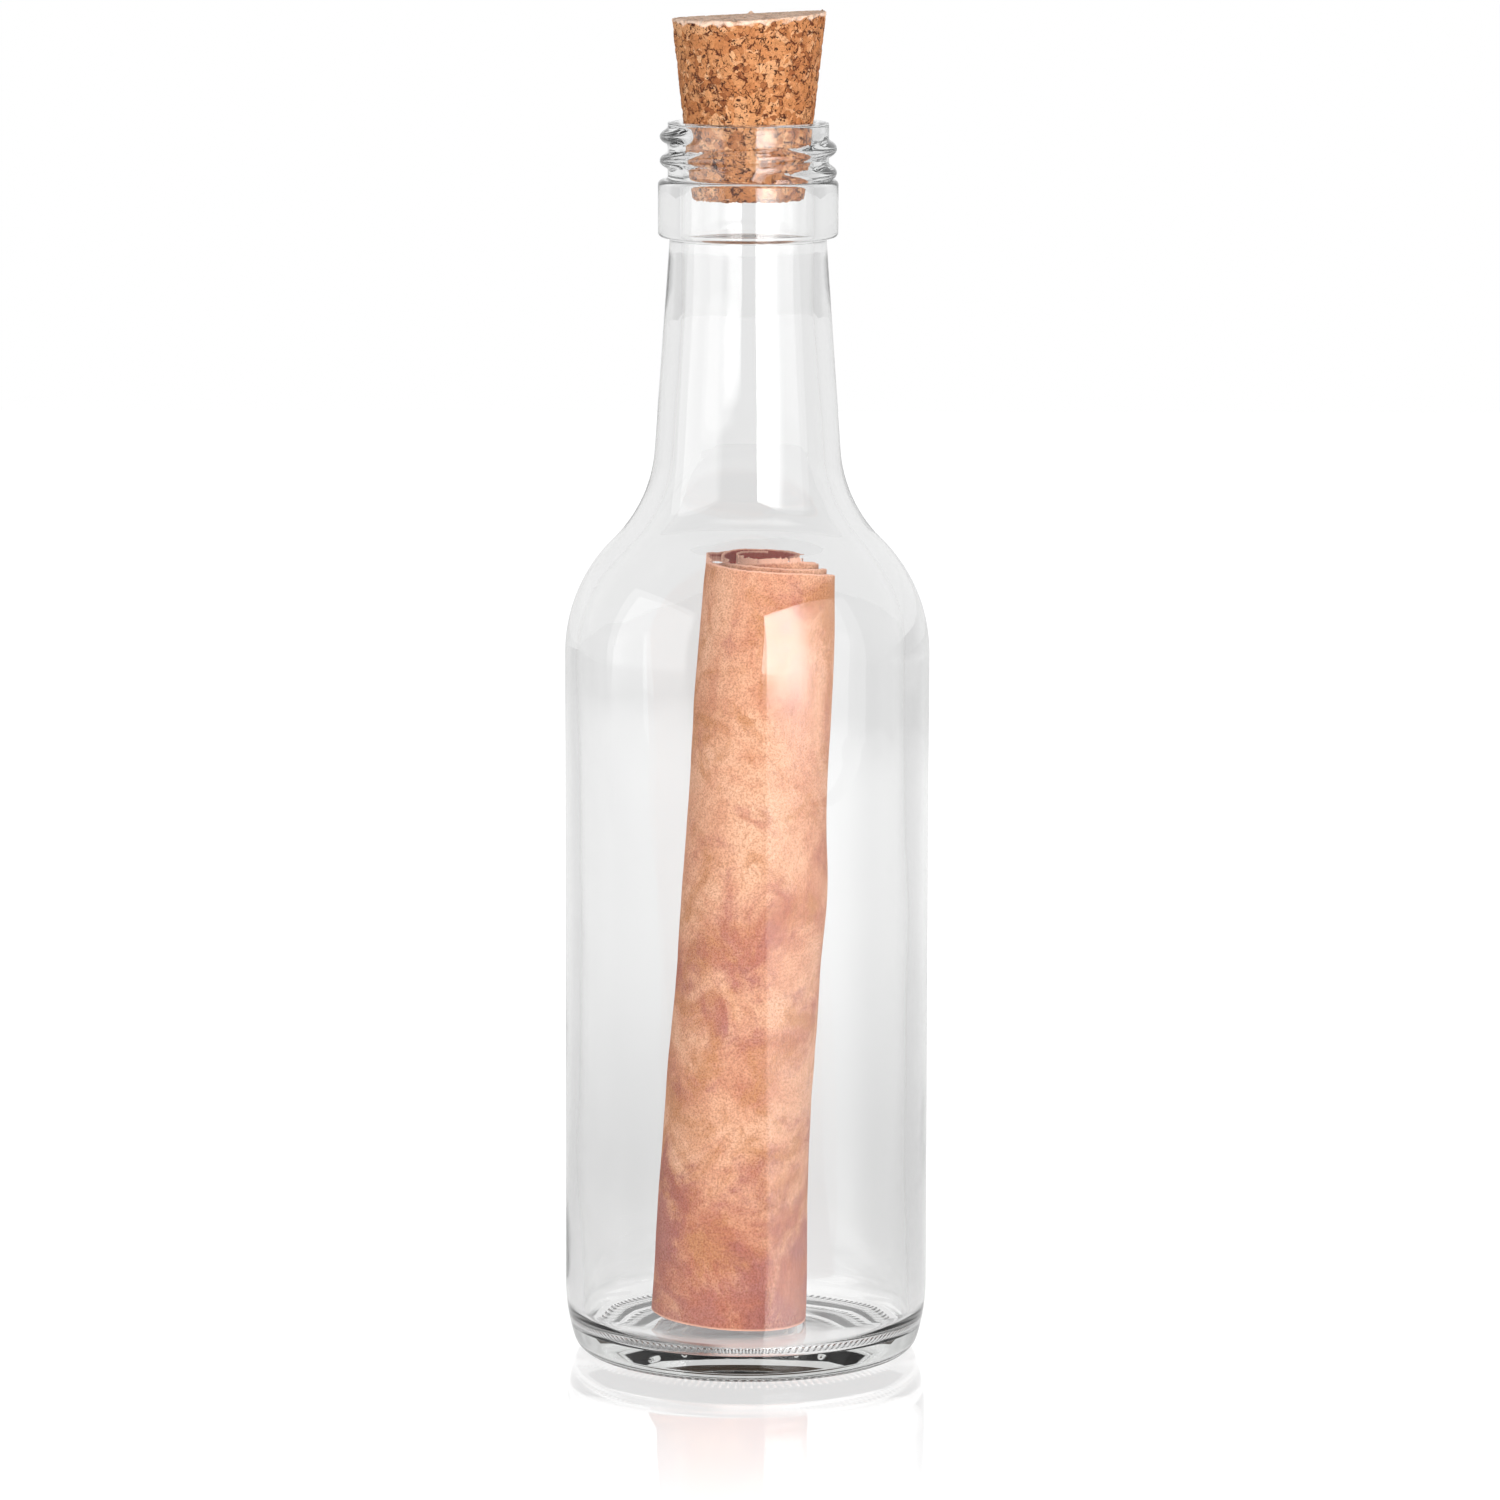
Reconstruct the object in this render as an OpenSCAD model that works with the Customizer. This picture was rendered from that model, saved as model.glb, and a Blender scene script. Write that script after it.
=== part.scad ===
// Message in a bottle: a clear glass bottle with a screw finish, a tapered cork and a rolled paper.
// Millimetres. The origin is the centre of the ring that the glass stands on, with +Z up its axis.
// The front of the bottle faces -Y.

/* [Body] */
// Outer diameter of the straight body
body_d = 57.6; // [55:0.2:62]
// Thickness of the glass wall
wall = 2.8; // [1.8:0.1:3.2]
// Height of the glass from the bearing ring to the lip
glass_h = 195.5; // [190:0.5:225]
// Height at which the shoulder leaves the straight body
shoulder_z = 112; // [90:0.5:114]
// Radius of the shoulder
shoulder_r = 25; // [22:0.5:27]
// Radius of the sweep from the shoulder up into the neck
sweep_r = 22; // [14:0.5:28]

/* [Base] */
// Height of the inside floor above the bearing ring
floor_h = 4.2; // [3.2:0.1:8]
// Rise of the push-up under the base
push_up = 1.8; // [0.8:0.1:2.4]
// Width of the flat ring that the bottle stands on
ring_w = 2; // [1:0.1:4]
// Radius of the corner between the heel and the bearing ring
heel_corner_r = 3; // [2:0.1:4.5]
// Height below which the body draws in to the heel
heel_h = 11; // [8:0.5:15]
// Radius of the gentle curve that draws the body in
heel_draw_r = 30; // [26:0.5:60]
// Radius of the inside corner between the wall and the floor
floor_corner_r = 4; // [2:0.1:7]

/* [Neck and finish] */
// Outer diameter of the neck under the collar
neck_d = 24.6; // [24:0.1:25.4]
// Taper of the neck on each side, in degrees
neck_taper = 4; // [2.5:0.25:5.5]
// Height of the finish from the underside of the collar to the lip
finish_h = 18; // [16.5:0.5:22]
// Outer diameter of the collar
collar_d = 28.2; // [27.8:0.1:31]
// Height of the collar
collar_h = 9; // [6:0.5:10]
// Rounding of the collar's edges
collar_edge_r = 0.8; // [0.4:0.1:1.2]
// Diameter of the finish between the turns of thread
finish_d = 25.2; // [24.6:0.1:25.8]
// Diameter over the thread
thread_d = 27.7; // [26.8:0.1:28.2]
// Rise of the thread in one turn
thread_pitch = 3.75; // [3:0.05:4]
// Length of the thread in turns
thread_turns = 1.9; // [1.25:0.05:2]
// Width of the thread where it leaves the finish
thread_w = 2.4; // [1.8:0.1:2.7]
// Drop from the lip to the start of the thread
thread_drop = 1.75; // [1.5:0.05:2.5]
// Direction in which the thread starts, in degrees from +X
thread_start = 235; // [0:5:355]
// Diameter of the bore at the mouth
bore_d = 20.5; // [19.8:0.1:21]
// Rounding of the lip
lip_r = 0.9; // [0.5:0.1:1.1]

/* [Cork] */
// Diameter of the cork's top
cork_top_d = 24.2; // [22.5:0.1:27]
// Diameter of the cork's bottom
cork_bottom_d = 17.9; // [15:0.1:19]
// Length of the cork through its centre
cork_len = 28.8; // [22:0.2:36]
// Slope of the cork's top face, in degrees
cork_slope = 5; // [0:0.5:7]
// Direction in which the top face slopes down, in degrees from +X
cork_slope_dir = 240; // [0:5:355]
// Rounding of the cork's bottom edge
cork_edge_r = 0.8; // [0.4:0.1:1.4]
// Gap round the cork at the mouth
cork_gap = 0.05; // [0.02:0.01:0.2]

/* [Rolled paper] */
// Height of the roll's top above the level where the shoulder starts
roll_rise = 13; // [0:0.5:14]
// Width of the roll at its top
roll_top_d = 20.9; // [18:0.1:22]
// Width of the roll at its bottom
roll_bottom_d = 24.8; // [20:0.1:26]
// Thickness of the paper
paper_t = 0.3; // [0.2:0.05:0.5]
// Turns of paper in the roll
roll_turns = 2.75; // [1.5:0.05:3]
// Spacing of one layer from the next
layer_step = 1.9; // [1.3:0.1:2.4]
// Sideways shift of each inner turn
layer_shift = 0.5; // [0:0.1:0.7]
// Direction of the free outer edge of the sheet, in degrees from +X
sheet_edge_dir = 12; // [-180:1:180]
// Lean of the roll to the right, in degrees
lean_right = 3.15; // [0:0.05:3.5]
// Lean of the roll towards the back, in degrees
lean_back = 2; // [-2:0.05:2.5]
// Place of the roll's bottom to the right of the bottle's axis
roll_x = -2.9; // [-6:0.1:1]
// Place of the roll's bottom behind the bottle's axis
roll_y = 1; // [-5:0.1:3]
// Depth of the dent in the roll's right side
dent_depth = 0.6; // [0:0.1:1.2]
// Share of the roll's length at which the dent lies
dent_at = 0.24; // [0.15:0.01:0.45]
// Length of the dent along the roll
dent_len = 16; // [8:0.5:25]
// Height of the fold that stands out of the roll's right side
fold_out = 0.9; // [0:0.1:1.2]
// Share of the roll's length at which the fold lies
fold_at = 0.57; // [0.5:0.01:0.75]
// Length of the fold along the roll
fold_len = 9; // [6:0.5:16]
// Gap between the roll and the floor that it stands on
rest_gap = 0.1; // [0.05:0.05:0.3]

/* [Hidden] */
$fn = 96;

body_r = body_d / 2;
neck_r = neck_d / 2;
bore_r = bore_d / 2;
finish_r = finish_d / 2;
collar_r = collar_d / 2;
collar_z = glass_h - finish_h;
seat_z = glass_h - lip_r;

// Heel: the corner arc runs tangent from the bearing ring into the curve that draws the body in
heel_drop = heel_h - heel_corner_r;
heel_reach = sqrt(pow(heel_draw_r - heel_corner_r, 2) - pow(heel_drop, 2));
heel_angle = atan2(-heel_drop, heel_reach);
ring_out_r = body_r - heel_draw_r + heel_reach;
ring_in_r = ring_out_r - ring_w;
dome_r = (pow(ring_in_r, 2) + pow(push_up, 2)) / (2 * push_up);
dome_angle = asin(ring_in_r / dome_r);

// Shoulder and sweep: two arcs, tangent to the body, to each other and to the tapered neck line
neck_out = [cos(neck_taper), sin(neck_taper)];
neck_up = [-sin(neck_taper), cos(neck_taper)];
neck_top = [neck_r, collar_z];
shoulder_c = [body_r - shoulder_r, shoulder_z];
to_sweep = neck_top + sweep_r * neck_out - shoulder_c;
arcs_r = shoulder_r + sweep_r;
sweep_c = shoulder_c + to_sweep
    - (to_sweep * neck_up - sqrt(pow(arcs_r, 2) - pow(to_sweep * neck_out, 2))) * neck_up;
shoulder_angle = atan2(sweep_c[1] - shoulder_c[1], sweep_c[0] - shoulder_c[0]);
bore_drop = (neck_r - wall * cos(neck_taper) - bore_r) / sin(neck_taper);

// Cork: its taper carries it down until it meets the bore just under the lip
cork_top_r = cork_top_d / 2;
cork_bottom_r = cork_bottom_d / 2;
cork_taper = (cork_top_r - cork_bottom_r) / cork_len;
cork_z = seat_z - (bore_r - cork_gap - cork_bottom_r) / cork_taper;

// Roll: it stands on the floor by the low edge of its tilted bottom end
roll_top_z = shoulder_z + roll_rise;
lean = acos(cos(lean_right) * cos(lean_back));
roll_z = floor_h + rest_gap + roll_bottom_d / 2 * sin(lean);
roll_len = (roll_top_z - roll_z) / cos(lean);
roll_steps = 30;
roll_rings = 12;

thread_steps = 30;
thread_flanks = 4;

// Points on an arc about c from angle a0 to angle a1
function arc(c, r, a0, a1, n) = [for (i = [0:n]) let (a = a0 + (a1 - a0) * i / n) c + r * [cos(a), sin(a)]];

// One side of the shoulder and sweep, offset inwards from the outside of the glass
function shoulder_line(inset) = concat(
    arc(shoulder_c, shoulder_r - inset, 0, shoulder_angle, 14),
    arc(sweep_c, sweep_r + inset, 180 + shoulder_angle, 180 + neck_taper, 14));

function reversed(list) = [for (i = [len(list) - 1:-1:0]) list[i]];

function glass_outside() = concat(
    arc([0, push_up - dome_r], dome_r, 90, 90 - dome_angle, 8),
    arc([ring_out_r, heel_corner_r], heel_corner_r, -90, heel_angle, 8),
    arc([body_r - heel_draw_r, heel_h], heel_draw_r, heel_angle, 0, 6),
    shoulder_line(0),
    [neck_top],
    arc([collar_r - collar_edge_r, collar_z + collar_edge_r], collar_edge_r, -90, 0, 5),
    arc([collar_r - collar_edge_r, collar_z + collar_h - collar_edge_r], collar_edge_r, 0, 90, 5),
    [[finish_r, collar_z + collar_h]],
    arc([finish_r - lip_r, glass_h - lip_r], lip_r, 0, 90, 6));

function glass_inside() = concat(
    arc([bore_r + lip_r, seat_z], lip_r, 90, 180, 6),
    [neck_top - wall * neck_out + bore_drop * neck_up],
    reversed(shoulder_line(wall)),
    reversed(arc([body_r - wall - floor_corner_r, floor_h + floor_corner_r], floor_corner_r, -90, 0, 8)),
    [[0, floor_h]]);

// Section of the thread, a low rounded ridge whose root lies inside the glass
function thread_section(size) = let (h = (thread_d - finish_d) / 2, root = 0.1) concat(
    [[finish_r - 4 * root, thread_w / 2], [finish_r - 4 * root, -thread_w / 2]],
    [for (i = [0:thread_flanks]) let (a = -90 + 180 * i / thread_flanks)
        [finish_r - root + (h * size + root) * cos(a), thread_w / 2 * sin(a)]]);

// The thread swells from nothing over its first 30 degrees and fades over its last
function thread_size(turn) = sin(90 * min(1, 0.05 + 12 * min(turn, thread_turns - turn)));

module thread() {
    count = ceil(thread_turns * thread_steps);
    sides = thread_flanks + 3;
    points = [for (i = [0:count]) let (turn = thread_turns * i / count, a = thread_start - 360 * turn)
        for (p = thread_section(thread_size(turn)))
            [p[0] * cos(a), p[0] * sin(a), glass_h - thread_drop - thread_pitch * turn + p[1]]];
    faces = concat(
        [[for (k = [0:sides - 1]) k]],
        [for (i = [0:count - 1], k = [0:sides - 1]) let (m = (k + 1) % sides)
            each [[i * sides + k, (i + 1) * sides + k, (i + 1) * sides + m],
                  [i * sides + k, (i + 1) * sides + m, i * sides + m]]],
        [[for (k = [sides - 1:-1:0]) count * sides + k]]);
    polyhedron(points, faces, convexity = 6);
}

module glass_bottle() {
    color([0.86, 0.9, 0.9, 0.4])
    union() {
        rotate_extrude() polygon(concat(glass_outside(), glass_inside()));
        thread();
    }
}

module cork_stopper() {
    over = 3;
    color([0.78, 0.58, 0.38])
    translate([0, 0, cork_z])
    difference() {
        rotate_extrude() polygon(concat(
            [[0, 0]],
            arc([cork_bottom_r - cork_edge_r, cork_edge_r], cork_edge_r, -90, 0, 5),
            [[cork_top_r + over * cork_taper, cork_len + over], [0, cork_len + over]]));
        translate([0, 0, cork_len])
        rotate([0, cork_slope, cork_slope_dir])
        translate([-cork_top_d, -cork_top_d, 0])
        cube([2 * cork_top_d, 2 * cork_top_d, 2 * over + cork_top_r]);
    }
}

// Inward push of the dent and outward push of the fold, at angle a and height z of the roll
function swell(z, at, reach) = exp(-pow((z - at * roll_len) / reach, 2));
function dent(a, z) = (dent_depth * swell(z, dent_at, dent_len) - fold_out * swell(z, fold_at, fold_len))
    * pow(max(0, cos(a)), 2);

// Point of the sheet at a turn and height; face is 0 on the outside of the sheet and 1 on its inside
function sheet_point(turn, z, face) =
    let (a = sheet_edge_dir - 360 * turn,
         width = roll_bottom_d + (roll_top_d - roll_bottom_d) * z / roll_len,
         r = (width + layer_step / 2) / 2 - layer_step * turn - paper_t * face - dent(a, z),
         x = layer_shift * turn - layer_step / 4)
    [x + r * cos(a), r * sin(a), z];

module paper_scroll() {
    count = ceil(roll_turns * roll_steps);
    ring = 2 * (count + 1);
    points = [for (j = [0:roll_rings]) let (z = roll_len * j / roll_rings)
        each concat([for (i = [0:count]) sheet_point(roll_turns * i / count, z, 0)],
                    [for (i = [count:-1:0]) sheet_point(roll_turns * i / count, z, 1)])];
    faces = concat(
        [for (i = [0:count - 1]) each [[i, i + 1, ring - 2 - i], [i, ring - 2 - i, ring - 1 - i]]],
        [for (j = [0:roll_rings - 1], k = [0:ring - 1]) let (m = (k + 1) % ring, low = j * ring, high = low + ring)
            each [[low + k, high + k, high + m], [low + k, high + m, low + m]]],
        [for (i = [0:count - 1]) let (top = roll_rings * ring)
            each [[top + i, top + ring - 2 - i, top + i + 1],
                  [top + i, top + ring - 1 - i, top + ring - 2 - i]]]);
    color([0.86, 0.62, 0.47])
    translate([roll_x, roll_y, roll_z])
    rotate([-lean_back, lean_right, 0])
    polyhedron(points, faces, convexity = 10);
}

glass_bottle();
cork_stopper();
paper_scroll();
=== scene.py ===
import math
import random
import bmesh
import bpy
from mathutils import Matrix, Vector, noise


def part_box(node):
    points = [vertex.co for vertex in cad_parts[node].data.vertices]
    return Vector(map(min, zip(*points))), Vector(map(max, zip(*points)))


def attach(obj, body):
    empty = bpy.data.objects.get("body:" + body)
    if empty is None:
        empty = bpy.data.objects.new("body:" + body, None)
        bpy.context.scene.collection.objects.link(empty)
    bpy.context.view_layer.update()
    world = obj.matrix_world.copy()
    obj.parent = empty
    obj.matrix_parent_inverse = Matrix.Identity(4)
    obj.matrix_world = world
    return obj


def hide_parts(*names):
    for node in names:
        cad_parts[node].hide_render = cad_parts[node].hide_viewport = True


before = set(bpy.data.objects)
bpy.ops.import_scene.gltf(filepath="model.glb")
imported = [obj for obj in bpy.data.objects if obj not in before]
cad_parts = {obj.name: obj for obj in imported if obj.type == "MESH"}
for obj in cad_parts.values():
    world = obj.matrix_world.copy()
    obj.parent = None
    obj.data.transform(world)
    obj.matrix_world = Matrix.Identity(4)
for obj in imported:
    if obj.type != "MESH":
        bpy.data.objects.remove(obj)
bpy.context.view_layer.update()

mm = 0.001
fullTurn = 2 * math.pi
sharpAngle = math.radians(50)
plainWhite = (1, 1, 1, 1)


# helpers for the shapes
def smoothstep(low, high, x):
    t = min(1, max(0, (x - low) / (high - low)))
    return t * t * (3 - 2 * t)


def arcPoints(centre, radius, startDeg, endDeg, count):
    # (radius, height) points along an arc, as an outline for spinning
    points = []
    for i in range(count + 1):
        a = math.radians(startDeg + (endDeg - startDeg) * i / count)
        points.append((centre[0] + radius * math.cos(a), centre[1] + radius * math.sin(a)))
    return points


def spacedPoints(points, stepAt):
    # divides each stretch of an outline so that its rows lie no further apart than stepAt(height)
    spaced = [points[0]]
    for (r0, z0), (r1, z1) in zip(points, points[1:]):
        parts = max(1, math.ceil(math.hypot(r1 - r0, z1 - z0) / stepAt((z0 + z1) / 2) - 0.01))
        spaced += [(r0 + (r1 - r0) * i / parts, z0 + (z1 - z0) * i / parts) for i in range(1, parts + 1)]
    return spaced


def spinOutline(points, steps):
    # spins an outline in millimetres about the z axis and closes its seam and poles
    bm = bmesh.new()
    verts = [bm.verts.new((r * mm, 0, z * mm)) for r, z in points]
    edges = [bm.edges.new(pair) for pair in zip(verts, verts[1:])]
    bmesh.ops.spin(bm, geom=verts + edges, cent=(0, 0, 0), axis=(0, 0, 1), angle=fullTurn, steps=steps,
                   use_merge=True)
    bmesh.ops.remove_doubles(bm, verts=bm.verts, dist=0.002 * mm)
    return bm


def finishPiece(name, bm, material, body, node):
    bmesh.ops.recalc_face_normals(bm, faces=bm.faces)
    for face in bm.faces:
        face.smooth = True
    for edge in bm.edges:
        edge.smooth = edge.calc_face_angle(0) < sharpAngle
    mesh = bpy.data.meshes.new(name)
    bm.to_mesh(mesh)
    bm.free()
    mesh.materials.append(material)
    piece = bpy.data.objects.new(name, mesh)
    bpy.context.collection.objects.link(piece)
    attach(piece, body)
    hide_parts(node)
    print("made", name, len(mesh.polygons), "faces")


# helpers for the materials
def rgb(red, green, blue):
    # a colour read off in 0 to 255 steps, as the linear value that nodes take
    def linear(c):
        c /= 255
        return c / 12.92 if c <= 0.04045 else ((c + 0.055) / 1.055) ** 2.4
    return (linear(red), linear(green), linear(blue), 1)


class NodeKit:
    # adds nodes to a tree: inputs are plain values or other nodes' outputs, and each call gives an output
    def __init__(self, tree):
        self.nodes, self.links = tree.nodes, tree.links

    def feed(self, socket, value):
        if isinstance(value, bpy.types.NodeSocket):
            self.links.new(value, socket)
        else:
            socket.default_value = value

    def add(self, kind, inputs, output=0, **settings):
        node = self.nodes.new("ShaderNode" + kind)
        for setting, value in settings.items():
            setattr(node, setting, value)
        for socket, value in inputs.items():
            self.feed(node.inputs[socket], value)
        return node.outputs[output]

    def axes(self, vector):
        return self.add("SeparateXYZ", {0: vector}).node.outputs[:]

    def ray(self, name):
        return self.add("LightPath", {}, name)

    def attribute(self, name):
        return self.add("Attribute", {}, "Fac", attribute_name=name)

    def maths(self, operation, first, second=0.0):
        return self.add("Math", {0: first, 1: second}, operation=operation)

    def chain(self, operation, first, *others):
        for other in others:
            first = self.maths(operation, first, other)
        return first

    def product(self, *factors):
        return self.chain("MULTIPLY", *factors)

    def total(self, *terms):
        return self.chain("ADD", *terms)

    def span(self, value, start, end, atStart, atEnd):
        # a soft step of the value between start and end
        inputs = {"Value": value, "From Min": start, "From Max": end, "To Min": atStart, "To Max": atEnd}
        return self.add("MapRange", inputs, interpolation_type="SMOOTHSTEP")

    def noise(self, vector, scale, detail, roughness, distortion=0, output="Fac"):
        inputs = {"Vector": vector, "Scale": scale, "Detail": detail, "Roughness": roughness,
                  "Distortion": distortion}
        return self.add("TexNoise", inputs, output)

    def ramp(self, factor, stops):
        colour = self.add("ValToRGB", {"Fac": factor})
        elements = colour.node.color_ramp.elements
        while len(elements) < len(stops):
            elements.new(0.5)
        for element, (place, tone) in zip(elements, stops):
            element.position = place
            element.color = tone
        return colour

    def mix(self, factor, first, second, blend="MIX"):
        return self.add("Mix", {0: factor, 6: first, 7: second}, 2, data_type="RGBA", blend_type=blend)

    def choose(self, factor, first, second):
        return self.add("Mix", {0: factor, 2: first, 3: second}, data_type="FLOAT")

    def bump(self, height, strength, distance, **more):
        inputs = {"Height": height, "Strength": strength, "Distance": distance}
        return self.add("Bump", inputs | more, "Normal")

    def mixShader(self, factor, first, second):
        return self.add("MixShader", {0: factor, 1: first, 2: second})


def newMaterial(name):
    material = bpy.data.materials.new(name)
    material.use_nodes = True
    nodes = material.node_tree.nodes
    return material, NodeKit(material.node_tree), nodes["Principled BSDF"], nodes["Material Output"]


def objectCoords(kit):
    return kit.add("TexCoord", {}, "Object")


# the bottle, one piece of clear glass
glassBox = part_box("glass_bottle")
bottle = {
    "bodyRadius": glassBox[1][1] / mm,
    "height": glassBox[1][2] / mm,
    "wall": 2.8,
    "wallShift": 0.55,       # the hollow lies a little to the left in the body, as blown glass does
    "shoulderZ": 112.0,
    "shoulderRadius": 25.0,
    "sweepRadius": 22.0,
    "floorHeight": 4.2,
    "floorCorner": 4.0,
    "pushUp": 1.8,
    "ringWidth": 2.0,
    "heelCorner": 3.0,
    "heelHeight": 11.0,
    "heelDraw": 30.0,
    "neckRadius": 12.3,
    "neckTaper": 4.0,
    "finishHeight": 18.0,
    "finishRadius": 12.6,
    "collarRadius": 14.1,
    "collarHeight": 9.0,
    "collarEdge": 0.8,
    "collarFillet": 0.5,
    "boreRadius": 10.25,
    "lipRadius": 0.9,
    "threadRadius": 13.85,
    "threadWidth": 2.5,
    "threadPitch": 3.75,
    "threadTurns": 1.9,
    "threadDrop": 1.75,
    "threadStart": 235.0,
    "threadEnds": 0.09,      # the share of a turn in which the thread rises at its ends
    # unevenness: how far it moves the glass, and its size across and along the bottle
    "innerWave": (0.26, 22.0, 46.0),
    "innerRipple": (0.0455, 7.0, 12.0),
    "outerWave": (0.02, 22.0, 46.0),
    # heights between which unevenness and shift of the hollow begin and end
    "innerFrom": (5, 20),
    "innerTo": (150, 175),
    "shiftFrom": (8, 30),
    "shiftTo": (105, 135),
    "outerFrom": (12, 30),
    "straight": (14.0, 110.0),
    "steps": 320,
    "look": {
        "refraction": 1.5,
        "tint": (0.50, 0.52, 0.50, 1),
        "tintDensity": 12,
        "ripple": (60, 2, 0.4),
        "rippleStrength": 0.06,
        "rippleDepth": 1.2 * mm,
        # short ribs across the ring that the bottle stands on
        "ribs": 132,
        "ribDepth": 0.22 * mm,
        "ribHeights": (0.25 * mm, 0.7 * mm),
        "ribRadii": (22 * mm, 22.6 * mm),
        "letThrough": (0.97, 0.97, 0.97, 1),
    },
}


def bottleShoulder(inset):
    # outline of shoulder and sweep, inset from the outside of the glass, and the neck line's top
    b = bottle
    tilt = math.radians(b["neckTaper"])
    out, up = Vector((math.cos(tilt), math.sin(tilt))), Vector((-math.sin(tilt), math.cos(tilt)))
    neckTop = Vector((b["neckRadius"], b["height"] - b["finishHeight"]))
    shoulder = Vector((b["bodyRadius"] - b["shoulderRadius"], b["shoulderZ"]))
    toSweep = neckTop + b["sweepRadius"] * out - shoulder
    reach = math.sqrt((b["shoulderRadius"] + b["sweepRadius"]) ** 2 - toSweep.dot(out) ** 2)
    sweep = shoulder + toSweep - (toSweep.dot(up) - reach) * up
    turn = math.degrees(math.atan2(sweep.y - shoulder.y, sweep.x - shoulder.x))
    line = arcPoints(shoulder, b["shoulderRadius"] - inset, 0, turn, 24)
    line += arcPoints(sweep, b["sweepRadius"] + inset, 180 + turn, 180 + b["neckTaper"], 20)
    boreDrop = (b["neckRadius"] - inset * out.x - b["boreRadius"]) / math.sin(tilt)
    return line, neckTop - inset * out + boreDrop * up


def outsideOutline():
    b = bottle
    drop = b["heelHeight"] - b["heelCorner"]
    reach = math.sqrt((b["heelDraw"] - b["heelCorner"]) ** 2 - drop ** 2)
    heelTurn = math.degrees(math.atan2(-drop, reach))
    heelAxis = b["bodyRadius"] - b["heelDraw"]
    ringOut = heelAxis + reach
    ringIn = ringOut - b["ringWidth"]
    domeRadius = (ringIn ** 2 + b["pushUp"] ** 2) / (2 * b["pushUp"])
    domeTurn = math.degrees(math.asin(ringIn / domeRadius))
    collarZ = b["height"] - b["finishHeight"]
    collarTop = collarZ + b["collarHeight"]
    edge, lip, fillet = b["collarEdge"], b["lipRadius"], b["collarFillet"]
    line = arcPoints((0, b["pushUp"] - domeRadius), domeRadius, 90, 90 - domeTurn, 10)
    line += arcPoints((ringOut, b["heelCorner"]), b["heelCorner"], -90, heelTurn, 10)
    line += arcPoints((heelAxis, b["heelHeight"]), b["heelDraw"], heelTurn, 0, 8)[1:]
    line += bottleShoulder(0)[0]
    line += arcPoints((b["neckRadius"] + fillet, collarZ - fillet), fillet, 180, 90, 4)
    line += arcPoints((b["collarRadius"] - edge, collarZ + edge), edge, -90, 0, 6)
    line += arcPoints((b["collarRadius"] - edge, collarTop - edge), edge, 0, 90, 6)
    line += arcPoints((b["finishRadius"] + fillet, collarTop + fillet), fillet, -90, -180, 4)
    return line + arcPoints((b["finishRadius"] - lip, b["height"] - lip), lip, 0, 90, 7)


def insideOutline():
    b = bottle
    lip, corner = b["lipRadius"], b["floorCorner"]
    innerLine, boreEnd = bottleShoulder(b["wall"])
    line = arcPoints((b["boreRadius"] + lip, b["height"] - lip), lip, 90, 180, 7)
    line += [tuple(boreEnd)] + innerLine[::-1]
    line += arcPoints((b["bodyRadius"] - b["wall"] - corner, b["floorHeight"] + corner), corner, 0, -90, 10)
    return line + [(0, b["floorHeight"])]


def radiusAt(points, height):
    for (r0, z0), (r1, z1) in zip(points, points[1:]):
        if min(z0, z1) <= height <= max(z0, z1) and z0 != z1:
            return r0 + (r1 - r0) * (height - z0) / (z1 - z0)
    return 0


def middleOfWall(outside, inside):
    # the radius half way through the wall at each millimetre of height
    lowest = bottle["floorHeight"] + 0.1
    return [(radiusAt(outside, z) + radiusAt(inside, max(z, lowest))) / 2
            for z in range(round(bottle["height"]) + 1)]


def threadRise(angleDeg, height):
    # how far the thread stands out of the finish at this place
    b = bottle
    turn = ((b["threadStart"] - angleDeg) % 360) / 360
    rise = 0
    while turn <= b["threadTurns"]:
        centre = b["height"] - b["threadDrop"] - b["threadPitch"] * turn
        side = abs(height - centre) / (b["threadWidth"] / 2)
        if side < 1:
            fade = smoothstep(0, b["threadEnds"], min(turn, b["threadTurns"] - turn) + 0.004)
            rise = max(rise, (b["threadRadius"] - b["finishRadius"]) * fade * (1 - side ** 2) ** 0.8)
        turn += 1
    return rise


def outsideRowStep(height):
    # rows lie close where the thread needs them, and far apart along the straight body
    b = bottle
    low, high = b["straight"]
    if height > b["height"] - b["finishHeight"] + b["collarHeight"]:
        return 0.3
    if height < 2:
        return 2.0
    return 6.0 if low < height < high else 3.0


def insideRowStep(height):
    low, high = bottle["straight"]
    return 5.0 if low < height < high else 3.0


def unevenness(p, wave, offset=0.0):
    size, across, along = wave
    return size * noise.noise(Vector((p.x / across + offset, p.y / across, p.z / along)))


def between(start, end, height):
    # rises from 0 to 1 over the first pair of heights, and falls back over the second
    return smoothstep(*start, height) * (1 - smoothstep(*end, height))


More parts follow.
